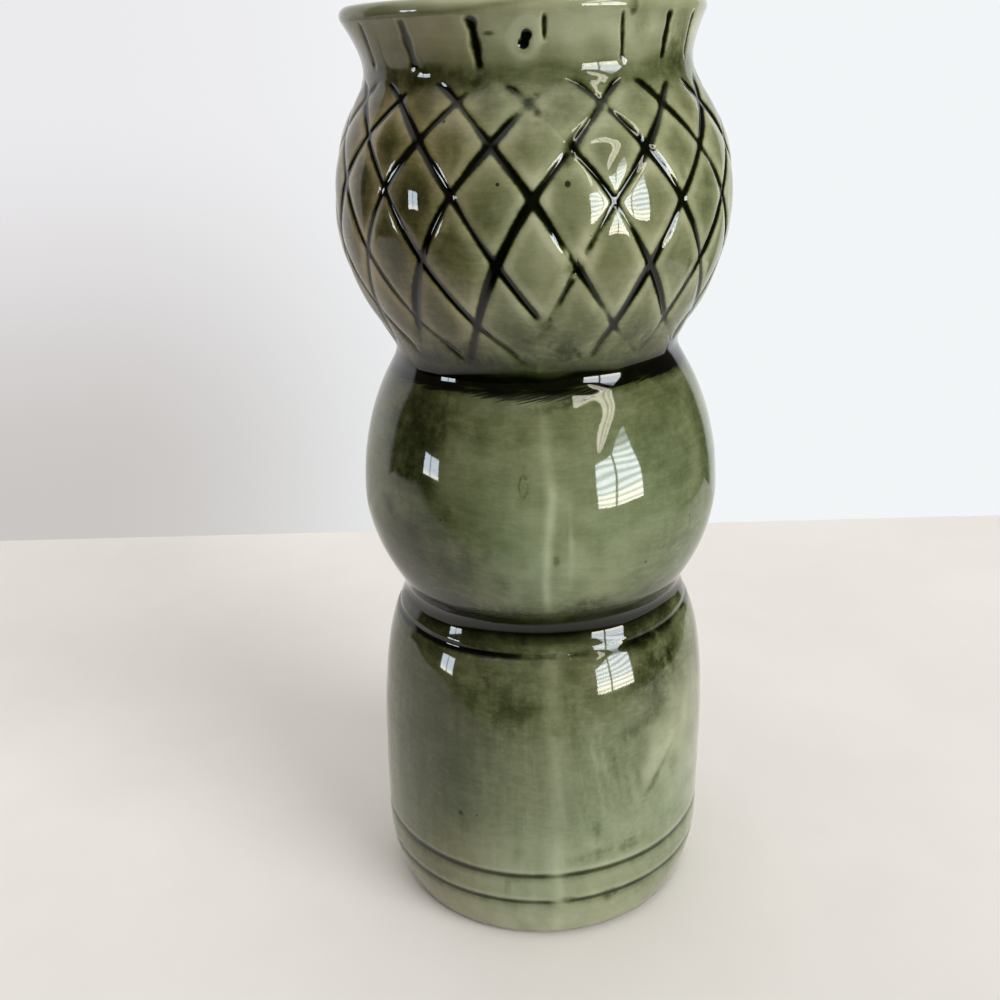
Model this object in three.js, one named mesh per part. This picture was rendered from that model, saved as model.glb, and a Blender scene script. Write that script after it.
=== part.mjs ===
// A tall slip-cast vase: a drum, a ball and a cross-hatched bulb stacked under a flared collar.
// Millimetres, +Z up. It stands on its foot at the origin, and the casting seam faces -Y.
import * as THREE from 'three';
import { mergeVertices } from 'three/addons/utils/BufferGeometryUtils.js';

// The outline is the soft join of three lobes and a throat. A lobe has its belly's height and radius, and
// how far it reaches below and above the belly, with a fullness of 2 for an ellipse and more for a box.
const DRUM = { height: 20, radius: 48.8, lowReach: 46.6, lowFullness: 2, highReach: 85.8, highFullness: 4.4 };
const BALL = { height: 127.3, radius: 50.2, lowReach: 51.2, lowFullness: 1.8, highReach: 60.6, highFullness: 2 };
const BULB = { height: 204.2, radius: 52, lowReach: 57, lowFullness: 1.74, highReach: 44.4, highFullness: 2.4 };
const COLLAR = { height: 232, radius: 40.6, sweep: 34.4 };
const JOIN = 2.6;

// The column bows to one side between the foot and the ball, and the collar comes back the other way
const FOOT_SHIFT = -0.9;
const BOW = 1.95;
const BOW_TOP = 100;
const SAG_START = 215;
const SAG = 1.9;

// Clearance between one coat and the next
const GAP = 0.2;

// The vase's height, and the heights that divide the coats
const HEIGHT = 254;
const GLAZE_BOTTOM = 1.2;
const LIP_START = 250.2;
const GLAZE_TOP = LIP_START - GAP;
const TAPER_START = 248.5;

// Thicknesses, measured in from the outline
const COAT = 1.7;
const COAT_AT_LIP = 1;
const CLAY = 2.4;
const LINER = 0.6;
const CLAY_INSIDE = COAT + GAP + CLAY;
const LINER_OUTSIDE = CLAY_INSIDE + GAP;
const WALL = LINER_OUTSIDE + LINER;

// The foot ring, the recess under it and the floor
const RECESS_DEPTH = 3;
const RECESS_RADIUS = 35;
const FOOT_INSIDE = 36;
const FOOT_OUTSIDE = 41.6;
const FLOOR = 8.5;
const FLOOR_ROUND = 7;
const WALL_START = 16;

// The carved lattice: two families of slanting lines that cross in rows, listed from the top down
const LINES = 17;
const LATTICE_PHASE = THREE.MathUtils.degToRad(10);
const ROW_HEIGHTS = [238.5, 231.5, 222.6, 211.3, 196.3, 181.3, 170.6];
const LAST_ROW = ROW_HEIGHTS.length - 1;
const ROW_TILT = 3.3;
const TWIST_START = 3;
const TWIST = THREE.MathUtils.degToRad(0.85);
const CUT_DEPTH = 1.1;
const CUT_SHARE = 0.073;
const PILLOW = 0.25;

// The short upright cuts round the collar
const STROKES = 16;
const STROKE_PHASE = THREE.MathUtils.degToRad(8.7);
const STROKE_HALF_WIDTH = THREE.MathUtils.degToRad(1.3);
const STROKE_LOW = 240.4;
const STROKE_HIGH = 249;
const STROKE_DEPTH = 0.8;
const STROKE_END = 0.8;

// The turned grooves: two above the foot and one on the drum's shoulder
const GROOVES = [
  { height: 14.2, halfWidth: 1.1, depth: 0.8 },
  { height: 24.3, halfWidth: 1.2, depth: 0.9 },
  { height: 91, halfWidth: 1.3, depth: 1 },
];
const GROOVE_MARGIN = 1.5;

// Fineness: sides round the vase, how far a flat may miss the curve, and steps along the section
const SIDES = 34;
const SEEN_ERROR = 0.22;
const HIDDEN_ERROR = 0.35;
const LONGEST_STEP = 12;
const SHORTEST_STEP = 1.5;
const STEP_GROWTH = 0.5;
const LIP_STEPS = 6;
const UNDER_LIP_STEPS = 4;
const CORNER_STEPS = 3;

// Half the height over which the outline's slope is measured, and how close two points are one
const SLOPE_REACH = 0.05;
const SAME_POINT = 1e-4;
const FULL_TURN = 2 * Math.PI;

// Radius of one lobe at a height
function lobeRadius(lobe, height) {
  const above = height > lobe.height;
  const reach = above ? lobe.highReach : lobe.lowReach;
  const fullness = above ? lobe.highFullness : lobe.lowFullness;
  const part = Math.min(Math.abs(height - lobe.height) / reach, 1);
  return lobe.radius * (1 - part ** fullness) ** (1 / fullness);
}

// The collar opens upward in a curve of one sweep, and shrinks the same way below its throat
function collarRadius(height) {
  const rise = height - COLLAR.height;
  return COLLAR.radius + Math.sign(rise) * rise ** 2 / (2 * COLLAR.sweep);
}

// The outer radius at a height: the largest of the lobes, with the creases between them rounded
function outline(height) {
  const radii = [DRUM, BALL, BULB].map((lobe) => lobeRadius(lobe, height));
  radii.push(collarRadius(height));
  return JOIN * Math.log(radii.reduce((sum, radius) => sum + Math.exp(radius / JOIN), 0));
}

// A point of the wall's section, a depth in from the outline and square to it
function inset(height, depth) {
  const slope = (outline(height + SLOPE_REACH) - outline(height - SLOPE_REACH)) / (2 * SLOPE_REACH);
  const length = Math.hypot(1, slope);
  return new THREE.Vector2(outline(height) - depth / length, height + depth * slope / length);
}

// Sideways shift of the column at a height
function lean(height) {
  const bow = BOW * THREE.MathUtils.smoothstep(height, 0, BOW_TOP);
  const sag = SAG * (Math.max(height - SAG_START, 0) / (HEIGHT - SAG_START)) ** 2;
  return FOOT_SHIFT + bow - sag;
}

// A point of the vase at an angle round it, counted from the front towards +X
function place(angle, radius, height) {
  return new THREE.Vector3(radius * Math.sin(angle) + lean(height), -radius * Math.cos(angle), height);
}

// Angles evenly spaced round the vase
function evenAngles(count) {
  return Array.from({ length: count }, (_, i) => i * FULL_TURN / count);
}

// A ring of points from their angles, radii and heights, in order of the angles
function ring(spots) {
  const turned = spots.map((spot) => {
    return { ...spot, angle: THREE.MathUtils.euclideanModulo(spot.angle, FULL_TURN) };
  });
  turned.sort((a, b) => a.angle - b.angle);
  return {
    angles: turned.map((spot) => spot.angle),
    points: turned.map((spot) => place(spot.angle, spot.radius, spot.height)),
  };
}

// A plain round ring through a point of the wall's section
function roundRing(point) {
  return ring(evenAngles(SIDES).map((angle) => ({ angle, radius: point.x, height: point.y })));
}

// The point where a skin crosses the axis
function apex(height) {
  return { apex: place(0, 0, height) };
}

// Fills the strip between two rings, going round both at once
function stitch(triangles, from, to) {
  const a = from.points.length;
  const b = to.points.length;
  const turnOf = (r, i) => r.angles[i % r.angles.length] + Math.floor(i / r.angles.length) * FULL_TURN;
  let i = 0;
  let j = 0;
  while (i < a || j < b) {
    const fromNext = turnOf(from, i + 1);
    const toNext = turnOf(to, j + 1);
    if (j === b || (i < a && fromNext <= toNext)) {
      triangles.push(from.points[i % a], from.points[(i + 1) % a], to.points[j % b]);
      i += 1;
    } else {
      triangles.push(from.points[i % a], to.points[(j + 1) % b], to.points[j % b]);
      j += 1;
    }
  }
}

// Fills the disc between a ring and the axis
function fan(triangles, from, to) {
  const { points } = from.apex ? to : from;
  points.forEach((point, i) => {
    const next = points[(i + 1) % points.length];
    if (from.apex) {
      triangles.push(from.apex, next, point);
    } else {
      triangles.push(point, next, to.apex);
    }
  });
}

// Skins a path of rings and apexes. Going up the outside, over the lip and down the inside faces outward.
function skin(triangles, path) {
  for (let i = 0; i + 1 < path.length; i += 1) {
    const [from, to] = [path[i], path[i + 1]];
    if (from.points && to.points) {
      stitch(triangles, from, to);
    } else if (from.points || to.points) {
      fan(triangles, from, to);
    }
  }
}

// One closed body from its triangles
function solid(triangles) {
  const geometry = new THREE.BufferGeometry().setFromPoints(triangles);
  const merged = mergeVertices(geometry, SAME_POINT);
  merged.computeVertexNormals();
  return merged;
}

// Heights between two ends, close together only where the outline bends
function stations(low, high, error) {
  const bend = (from, to) => {
    const middle = (from + to) / 2;
    return Math.abs(outline(middle) - (outline(from) + outline(to)) / 2);
  };
  const heights = [low];
  let last = low;
  while (last < high) {
    let next = last + SHORTEST_STEP;
    while (next - last < LONGEST_STEP && bend(last, next) < error) {
      next += STEP_GROWTH;
    }
    last = next > high - SHORTEST_STEP ? high : next;
    heights.push(last);
  }
  return heights;
}

// How thick the outer coat is at a height
function coatDepth(height) {
  return COAT - (COAT - COAT_AT_LIP) * THREE.MathUtils.smoothstep(height, TAPER_START, GLAZE_TOP);
}

// Rings of a hidden or inner wall, a depth in from the outline
function wallRings(low, high, depthAt) {
  return stations(low, high, HIDDEN_ERROR).map((height) => roundRing(inset(height, depthAt(height))));
}

// Rings over the lip, from the outside to the inside, round the half circle between two depths
function lipRings(outerDepth, innerDepth, steps) {
  const start = inset(LIP_START, outerDepth);
  const middle = inset(LIP_START, (outerDepth + innerDepth) / 2);
  return Array.from({ length: steps + 1 }, (_, i) => {
    return roundRing(start.clone().rotateAround(middle, Math.PI * i / steps));
  });
}

// Rings of the rounded inside corner, from the wall down to the floor
function cornerRings(depth, floor) {
  const wall = inset(WALL_START, depth);
  const drop = wall.y - floor;
  return Array.from({ length: CORNER_STEPS }, (_, i) => {
    const turn = Math.PI / 2 * (i + 1) / CORNER_STEPS;
    const radius = wall.x - FLOOR_ROUND * (1 - Math.cos(turn));
    return roundRing(new THREE.Vector2(radius, wall.y - drop * Math.sin(turn)));
  });
}

// Stops along a diamond's edge: both ends lie in a cut, and the middle swells
const MIDDLE = 0.5;
const SHARES = [0, CUT_SHARE, MIDDLE, 1 - CUT_SHARE, 1];

// The height of a row, or of a place between two rows, by a smooth curve through the rows
const rowCurve = new THREE.CatmullRomCurve3(
  ROW_HEIGHTS.map((height, row) => new THREE.Vector3(row, height, 0)),
);
function rowHeight(row, angle) {
  const share = THREE.MathUtils.clamp(row / LAST_ROW, 0, 1);
  return rowCurve.getPoint(share).y - ROW_TILT * Math.sin(Math.PI * share) * Math.sin(angle);
}

// A point inside the diamond whose top is at a row and a column: right and left are shares of its edges
function latticePoint(row, column, right, left) {
  const level = row + right + left;
  const twist = TWIST * Math.max(level - TWIST_START, 0) ** 2;
  const angle = (column + (row + right - left) / 2) * FULL_TURN / LINES + LATTICE_PHASE + twist;
  const height = rowHeight(level, angle);
  const inCut = [right, left].some((share) => share === 0 || share === 1);
  const swell = [right, left].includes(MIDDLE) ? PILLOW : 0;
  return { angle, height, level, radius: outline(height) + (inCut ? -CUT_DEPTH : swell) };
}

// The lattice's upper or lower edge, as a ring that shares its points
function latticeRing(level) {
  const shares = SHARES.slice(0, -1);
  const spots = [];
  for (let column = 0; column < LINES; column += 1) {
    shares.forEach((share) => spots.push(latticePoint(level - 1, column, share, 1 - share)));
  }
  return ring(spots);
}

// Skins the bulb diamond by diamond, with a V cut along every line
function latticeSkin(triangles) {
  const inLattice = ({ level }) => level >= 0 && level <= LAST_ROW;
  const keep = (corners) => {
    if (corners.every(inLattice)) {
      triangles.push(...corners.map((spot) => place(spot.angle, spot.radius, spot.height)));
    }
  };
  for (let row = -1; row < LAST_ROW; row += 1) {
    for (let column = 0; column < LINES; column += 1) {
      for (let i = 0; i + 1 < SHARES.length; i += 1) {
        for (let j = 0; j + 1 < SHARES.length; j += 1) {
          const top = latticePoint(row, column, SHARES[i], SHARES[j]);
          const left = latticePoint(row, column, SHARES[i], SHARES[j + 1]);
          const right = latticePoint(row, column, SHARES[i + 1], SHARES[j]);
          const bottom = latticePoint(row, column, SHARES[i + 1], SHARES[j + 1]);
          keep([top, left, right]);
          keep([bottom, right, left]);
        }
      }
    }
  }
}

// Rings of the drum and the ball, with each turned groove as a V
function lowerRings() {
  const clear = (height) => GROOVES.every(
    (groove) => Math.abs(height - groove.height) > groove.halfWidth + GROOVE_MARGIN,
  );
  const top = ROW_HEIGHTS[LAST_ROW] - SHORTEST_STEP;
  const plain = stations(GLAZE_BOTTOM, top, SEEN_ERROR).filter(clear);
  const levels = plain.map((height) => ({ height, depth: 0 }));
  GROOVES.forEach(({ height, halfWidth, depth }) => {
    levels.push({ height: height - halfWidth, depth: 0 });
    levels.push({ height, depth });
    levels.push({ height: height + halfWidth, depth: 0 });
  });
  levels.sort((a, b) => a.height - b.height);
  return levels.map(({ height, depth }) => roundRing(new THREE.Vector2(outline(height) - depth, height)));
}

// Rings of the collar, with each upright stroke as a V
function collarRings() {
  const pitch = FULL_TURN / STROKES;
  const stops = evenAngles(STROKES).flatMap((turn) => [
    { angle: turn + STROKE_PHASE - STROKE_HALF_WIDTH, cut: 0 },
    { angle: turn + STROKE_PHASE, cut: 1 },
    { angle: turn + STROKE_PHASE + STROKE_HALF_WIDTH, cut: 0 },
    { angle: turn + STROKE_PHASE + pitch / 2, cut: 0 },
  ]);
  const levels = [
    { height: STROKE_LOW - STROKE_END, depth: 0 },
    { height: STROKE_LOW, depth: STROKE_DEPTH },
    { height: (STROKE_LOW + STROKE_HIGH) / 2, depth: STROKE_DEPTH },
    { height: STROKE_HIGH, depth: STROKE_DEPTH },
    { height: STROKE_HIGH + STROKE_END, depth: 0 },
    { height: GLAZE_TOP, depth: 0 },
  ];
  return levels.map(({ height, depth }) => {
    return ring(stops.map(({ angle, cut }) => ({ angle, radius: outline(height) - cut * depth, height })));
  });
}

// The cast body: wall, floor and foot ring in one piece of fired clay
function clayBody() {
  const outer = wallRings(GLAZE_BOTTOM, LIP_START, (height) => coatDepth(height) + GAP);
  const lip = lipRings(COAT_AT_LIP + GAP, CLAY_INSIDE, UNDER_LIP_STEPS);
  const inner = wallRings(WALL_START, LIP_START, () => CLAY_INSIDE).reverse();
  const path = [
    apex(RECESS_DEPTH),
    roundRing(new THREE.Vector2(RECESS_RADIUS, RECESS_DEPTH)),
    roundRing(new THREE.Vector2(FOOT_INSIDE, 0)),
    roundRing(new THREE.Vector2(FOOT_OUTSIDE, 0)),
    ...outer,
    ...lip.slice(1, -1),
    ...inner,
    ...cornerRings(CLAY_INSIDE, FLOOR),
    apex(FLOOR),
  ];
  const triangles = [];
  skin(triangles, path);
  return solid(triangles);
}

// The green coat, which carries all the carving, open at the foot and at the lip
function greenOuterGlaze() {
  const triangles = [];
  const lower = lowerRings();
  const collar = collarRings();
  const back = wallRings(GLAZE_BOTTOM, GLAZE_TOP, coatDepth).reverse();
  skin(triangles, [...lower, latticeRing(LAST_ROW)]);
  latticeSkin(triangles);
  skin(triangles, [latticeRing(0), ...collar, ...back, lower[0]]);
  return solid(triangles);
}

// The pale coat, which lines the inside and rolls over the lip
function paleLinerGlaze() {
  const lip = lipRings(0, WALL, LIP_STEPS);
  const seen = wallRings(WALL_START, LIP_START, () => WALL).reverse();
  const hidden = wallRings(WALL_START, LIP_START, () => LINER_OUTSIDE);
  const underLip = lipRings(COAT_AT_LIP, LINER_OUTSIDE, UNDER_LIP_STEPS).reverse();
  const floorTop = FLOOR + GAP + LINER;
  const path = [
    ...lip,
    ...seen.slice(1),
    ...cornerRings(WALL, floorTop),
    apex(floorTop),
    apex(FLOOR + GAP),
    ...cornerRings(LINER_OUTSIDE, FLOOR + GAP).reverse(),
    ...hidden,
    ...underLip.slice(1),
    lip[0],
  ];
  const triangles = [];
  skin(triangles, path);
  return solid(triangles);
}

// A named piece with its own material
function piece(name, geometry, color, roughness) {
  const material = new THREE.MeshStandardMaterial({ color, roughness, metalness: 0 });
  const mesh = new THREE.Mesh(geometry, material);
  mesh.name = name;
  return mesh;
}

const vase = new THREE.Group();
vase.add(piece('clay_body', clayBody(), 0xd9d2c0, 0.85));
vase.add(piece('green_outer_glaze', greenOuterGlaze(), 0x66704a, 0.12));
vase.add(piece('pale_liner_glaze', paleLinerGlaze(), 0xa9ab86, 0.15));

export default vase;
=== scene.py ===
# A tall green-glazed vase, seen from a little above on a pale table, with a window to the right.
# Sizes are in millimetres and angles in degrees, counted from the front (-Y) towards +X.
# Materials, the table and the lights are in metres.
import math

import bpy
import numpy as np
from mathutils import Matrix, Vector


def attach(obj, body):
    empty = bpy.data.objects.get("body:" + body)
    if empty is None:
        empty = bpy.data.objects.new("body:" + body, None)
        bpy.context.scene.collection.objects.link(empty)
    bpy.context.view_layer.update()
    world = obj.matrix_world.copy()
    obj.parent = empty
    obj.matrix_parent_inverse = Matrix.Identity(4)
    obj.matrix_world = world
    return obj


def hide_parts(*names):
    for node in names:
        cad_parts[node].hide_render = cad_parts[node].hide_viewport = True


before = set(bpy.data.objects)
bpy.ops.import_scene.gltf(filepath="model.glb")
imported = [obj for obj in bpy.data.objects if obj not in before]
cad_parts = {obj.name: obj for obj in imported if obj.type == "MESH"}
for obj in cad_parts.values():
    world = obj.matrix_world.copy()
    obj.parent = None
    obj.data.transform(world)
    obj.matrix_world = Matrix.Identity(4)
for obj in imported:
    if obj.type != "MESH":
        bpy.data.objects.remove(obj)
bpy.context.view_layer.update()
MM = 0.001

# The outline's lobes: belly height and radius, reach below and above, and how boxy each half is
DRUM = dict(height=20, radius=48.8, low_reach=46.6, low_fullness=2, high_reach=85.8, high_fullness=4.4)
BALL = dict(height=127.3, radius=50.2, low_reach=51.2, low_fullness=1.8, high_reach=60.6, high_fullness=2)
BULB = dict(height=204.2, radius=52, low_reach=57, low_fullness=1.74, high_reach=44.4, high_fullness=2.4)
COLLAR_HEIGHT = 232
COLLAR_RADIUS = 40.6
COLLAR_SWEEP = 34.4
JOIN = 2.6

# Sideways lean of the column
FOOT_SHIFT = -0.9
BOW = 1.95
BOW_TOP = 100
SAG_START = 215
SAG = 1.9
HEIGHT = 254

# Coats and wall, measured in from the outline
GAP = 0.2
COAT = 1.7
COAT_AT_LIP = 1
TAPER_START = 248.5
CLAY_INSIDE = 4.3
LINER_OUTSIDE = 4.5
WALL = 5.1
GLAZE_BOTTOM = 1.2
LIP_START = 250.2
RECESS_DEPTH = 3
RECESS_RADIUS = 35
FOOT_INSIDE = 36
FOOT_OUTSIDE = 41.6
FLOOR = 8.5
FLOOR_ROUND = 7
WALL_START = 16

# The carved lattice: two families of slanting lines that cross in rows, listed from the top down
LINES = 17
LATTICE_PHASE = 10
ROW_HEIGHTS = (238.5, 231.5, 222.6, 211.3, 196.3, 181.3, 170.6)
LAST_ROW = len(ROW_HEIGHTS) - 1
ROW_TILT = 3.3
TWIST_START = 3
TWIST = 0.85
CUT_DEPTH = 0.32
CUT_HALF_WIDTH = 1.7
PILLOW = 0.62
PILLOW_REACH = 3
EDGE_STOPS = (0, 0.014, 0.028, 0.042, 0.057, 0.073, 0.092, 0.12, 0.165, 0.235, 0.36)

# Upright strokes on the collar that are seen in front: angle, lower end and half width in degrees
STROKES_IN_FRONT = (
    (-58.5, 239.6, 2.2), (-37.5, 239.0, 2.9), (-14.8, 238.6, 2.8), (5.4, 244.4, 1.5),
    (29.6, 239.4, 1.5), (47.5, 239.6, 2.4), (62.5, 239.8, 2.0),
)
STROKES_BEHIND = 9
STROKE_HIGH = 250
STROKE_DEPTH = 0.4

# Turned grooves: height, half width, depth, and how far the front right is higher
BANDS = (
    dict(height=14.9, half_width=2.1, depth=0.3, rise=0.4),
    dict(height=24.2, half_width=2.3, depth=0.34, rise=0.5),
    dict(height=91.3, half_width=1.8, depth=0.45, rise=0.4),
)


def smoothstep(low, high, value):
    """A soft step from 0 at low to 1 at high."""
    share = np.clip((value - low) / (high - low), 0, 1)
    return share * share * (3 - 2 * share)


def bump(value, centre, half_width):
    """A rounded hump of height 1 that ends at half_width on both sides."""
    share = np.minimum(np.abs(value - centre) / half_width, 1)
    return 0.5 + 0.5 * np.cos(math.pi * share)


def between(start, full, fade, end, value):
    """A soft step up to 1 and, further on, down to 0 again."""
    return smoothstep(start, full, value) * (1 - smoothstep(fade, end, value))


def front_angle(angle):
    """An angle as -180 to 180, with 0 at the front."""
    return (angle + 180) % 360 - 180


def oval(turned, z, centre, height, half_width, half_height, slope=0.0):
    """The squared distance of each point from the middle of an oval, 1 at its edge."""
    across = turned - centre
    up = z - height - slope * across
    return (across / half_width) ** 2 + (up / half_height) ** 2


def lobe_radius(lobe, z):
    """Radius of one lobe at a height."""
    above = z > lobe["height"]
    reach = np.where(above, lobe["high_reach"], lobe["low_reach"])
    fullness = np.where(above, lobe["high_fullness"], lobe["low_fullness"])
    part = np.minimum(np.abs(z - lobe["height"]) / reach, 1)
    return lobe["radius"] * (1 - part ** fullness) ** (1 / fullness)


def outline(z):
    """The outer radius at a height, with soft creases between the lobes."""
    z = np.asarray(z, float)
    rise = z - COLLAR_HEIGHT
    radii = [lobe_radius(lobe, z) for lobe in (DRUM, BALL, BULB)]
    radii.append(COLLAR_RADIUS + np.sign(rise) * rise ** 2 / (2 * COLLAR_SWEEP))
    return JOIN * np.log(sum(np.exp(radius / JOIN) for radius in radii))


def lean(z):
    """Sideways shift of the column at a height."""
    sag = SAG * (np.maximum(z - SAG_START, 0) / (HEIGHT - SAG_START)) ** 2
    return FOOT_SHIFT + BOW * smoothstep(0, BOW_TOP, z) - sag


def inset(z, depth):
    """A point of the wall's section, a depth in from the outline and square to it."""
    reach = 0.05
    slope = (outline(z + reach) - outline(z - reach)) / (2 * reach)
    length = np.hypot(1, slope)
    return np.array([outline(z) - depth / length, z + depth * slope / length])


def place(angle, radius, z):
    """Points of the vase from angles in degrees, radii and heights."""
    turn = np.radians(angle)
    x = radius * np.sin(turn) + lean(z)
    y = -radius * np.cos(turn)
    return np.stack(np.broadcast_arrays(x, y, z), axis=-1).astype(float)


def waves(points, length, seed, count=14):
    """A smooth random field, about -1 to 1, with hills of one length."""
    rng = np.random.default_rng(seed)
    ways = rng.normal(size=(count, 3))
    ways /= np.linalg.norm(ways, axis=1)[:, None]
    ways *= 2 * math.pi / length * rng.uniform(0.65, 1.35, (count, 1))
    starts = rng.uniform(0, 2 * math.pi, count)
    return np.sin(points @ ways.T + starts).sum(axis=1) * math.sqrt(2 / count) / 1.6


# The height of each row and of every place between two rows
LEVELS = np.linspace(0, LAST_ROW, 241)


def row_curve():
    """A smooth curve through the rows' heights."""
    rows = np.array(ROW_HEIGHTS, float)
    before = np.concatenate([[2 * rows[0] - rows[1]], rows, [2 * rows[-1] - rows[-2]]])
    first = np.minimum(LEVELS.astype(int), LAST_ROW - 1)
    t = LEVELS - first
    a, b, c, d = (before[first + k] for k in range(4))
    square = 2 * a - 5 * b + 4 * c - d
    cube = 3 * b - a - 3 * c + d
    return 0.5 * (2 * b + (c - a) * t + square * t ** 2 + cube * t ** 3)


CURVE = row_curve()


def tilt_at(level, angle):
    """How much lower the carved rows sit on the right than on the left."""
    return ROW_TILT * np.sin(math.pi * np.clip(level / LAST_ROW, 0, 1)) * np.sin(np.radians(angle))


def lattice_place(first, second):
    """Angle and height of a place in the lattice, counted in lines of both families."""
    level = first + second
    twist = TWIST * np.maximum(level - TWIST_START, 0) ** 2
    angle = (first - second) * 180 / LINES + LATTICE_PHASE + twist
    height = np.interp(level, LEVELS, CURVE) - tilt_at(level, angle)
    return angle, height


def lattice_lines(angle, z):
    """The lattice place at an angle and height: lines of each family passed, and the level."""
    level = np.interp(-z, -CURVE, LEVELS)
    for _ in range(4):
        level = np.interp(-(z + tilt_at(level, angle)), -CURVE, LEVELS)
    twist = TWIST * np.maximum(level - TWIST_START, 0) ** 2
    across = (angle - LATTICE_PHASE - twist) * LINES / 180
    return (level + across) / 2, (level - across) / 2, level


def line_spread(level, z):
    """Distance in millimetres between neighbouring lines, square to them."""
    half = math.pi * outline(z) / LINES
    fall = -np.gradient(CURVE, LEVELS)
    fall = np.interp(level, LEVELS, fall)
    return 2 * half * fall / np.hypot(half, fall)


# Where the carving is rubbed away: lines that rise or fall to the right, or the turned bands;
# then angle, height, half width, half height and how much
WORN_SPOTS = (
    ("rising", -38.5, 235.5, 4, 2.6, 1), ("rising", -17.5, 235, 3, 2.2, 0.7),
    ("falling", 6, 225.3, 7.2, 7, 1), ("falling", 20.8, 230.4, 1.7, 1.3, 0.95),
    ("rising", 3.6, 235.4, 3.6, 2.6, 1), ("both", -1.5, 231.5, 6, 4.5, 0.7),
    ("both", 19.5, 231.5, 6.5, 5, 0.35), ("rising", 9.5, 222.5, 2.5, 2.5, 0.6),
    ("rising", 15, 228, 5, 4, 0.3), ("falling", 23, 206.5, 3.6, 4, 0.5),
    ("rising", 17, 204.5, 3.5, 4.5, 0.4), ("rising", 11.6, 197.6, 2.2, 2, 1),
    ("falling", 5.4, 202, 0.8, 0.9, 0.95), ("falling", 7.6, 199.5, 0.7, 0.7, 0.9),
    ("rising", 9.9, 193.9, 0.9, 0.8, 0.75), ("rising", 8, 189, 0.6, 0.6, 0.8),
    ("rising", 6.2, 184, 2.2, 2.6, 1), ("falling", 1.8, 182, 2.6, 2.8, 0.9),
    ("both", 3.6, 179.3, 3.6, 3.6, 1), ("rising", -1.5, 175.5, 4, 4.8, 1),
    ("falling", 7.5, 176.5, 5, 5, 1), ("falling", 19, 183.5, 3, 2.6, 0.5),
    ("falling", 30, 175.5, 6, 4.5, 0.5), ("rising", 41, 176, 4, 4.5, 0.65),
    ("falling", 51, 175, 7, 5, 0.65), ("rising", -45, 176, 5, 5, 0.6), ("falling", 56, 215, 4, 5, 0.3),
    ("band", 5, 14.9, 3.4, 3, 0.85), ("band", 4.2, 24.2, 3.4, 3, 0.5), ("band", -2.5, 91.3, 6, 2.8, 0.35),
    ("band", 6.2, 91.3, 2.6, 2.8, 0.8), ("band", 22.5, 91.3, 9.5, 2.8, 0.75),
)


def wear(angle, z, family):
    """How much of the carving is left: the casting seam's cleaning rubbed it away in places."""
    turned = front_angle(angle)
    worn = np.zeros_like(z)
    for kind, *spot, amount in WORN_SPOTS:
        if kind in (family, "both"):
            worn = np.maximum(worn, amount * np.exp(-oval(turned, z, *spot) ** 1.5))
    return 1 - worn


def lattice_marks(angle, z):
    """The lattice at each point: how deep in a cut, how near a diamond's rim, and how far inside it."""
    first, second, level = lattice_lines(angle, z)
    spread = line_spread(level, z)
    seen = between(0.2, 0.55, 5.75, 5.98, level)
    cut = np.zeros_like(z)
    inside = np.ones_like(z)
    rim = np.zeros_like(z)
    for family, (kind, lines, other) in enumerate((("rising", first, second), ("falling", second, first))):
        number = np.round(lines)
        away = np.abs(lines - number) * spread
        key = number * 2.3 + family * 5.1
        swing = np.sin(other * 2.2 + key * 1.7) + 0.6 * np.sin(other * 5.1 + key * 3.1)
        uneven = 0.13 * swing + 0.14 * np.sin(key * 2.9) - 0.12 * np.sin(np.radians(angle))
        width = CUT_HALF_WIDTH * (1 + uneven)
        ends = seen * smoothstep(0.1, 0.5, level - 0.16 * np.sin(key * 4.3))
        left = wear(angle, z, kind)
        strength = ends * left * (0.88 + 0.1 * np.sin(key * 3.7) + 0.12 * swing)
        shape = ends * (left + 0.7 * (1 - left) * smoothstep(180, 190, z))
        channel = strength * bump(away, 0, width)
        cut = 1 - (1 - cut) * (1 - channel)
        inside *= 1 - np.exp(-away / PILLOW_REACH) * shape
        rim = np.maximum(rim, strength * bump(away, width + 0.6, 1.9))
    return cut, rim * (1 - smoothstep(0, 0.5, cut)), inside * seen


def stroke_places():
    """All the strokes: those in front, and more in even steps round the back."""
    first = STROKES_IN_FRONT[-1][0]
    step = (STROKES_IN_FRONT[0][0] + 360 - first) / (STROKES_BEHIND + 1)
    behind = [(first + step * number, 239.2, 2.4) for number in range(1, STROKES_BEHIND + 1)]
    return list(STROKES_IN_FRONT) + behind


def stroke_marks(angle, z):
    """How deep each point lies in one of the collar's upright strokes."""
    depth = np.zeros_like(z)
    for number, (centre, low, half_width) in enumerate(stroke_places()):
        away = front_angle(angle - centre)
        slant = (z - 245) * 0.09 * np.sin(number * 2.5 + 1)
        width = half_width * (1 + 0.15 * np.sin(z * 1.1 + number * 1.9))
        ends = between(low - 1, low + 1.4, STROKE_HIGH - 1.2, STROKE_HIGH + 0.8, z)
        strength = 0.88 + 0.12 * np.sin(number * 4.1)
        depth = np.maximum(depth, bump(away, slant, width) * ends * strength)
    return depth


def band_middle(band, angle):
    """The height of a groove's middle at an angle."""
    return band["height"] + band["rise"] * np.sin(np.radians(angle))


def band_marks(angle, z):
    """How deep each point lies in a turned groove, and the depth of that groove."""
    marks = np.zeros_like(z)
    depth = np.zeros_like(z)
    for band in BANDS:
        mark = bump(z, band_middle(band, angle), band["half_width"]) * wear(angle, z, "band")
        marks = np.maximum(marks, mark)
        depth = np.maximum(depth, mark * band["depth"])
    return marks, depth


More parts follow.
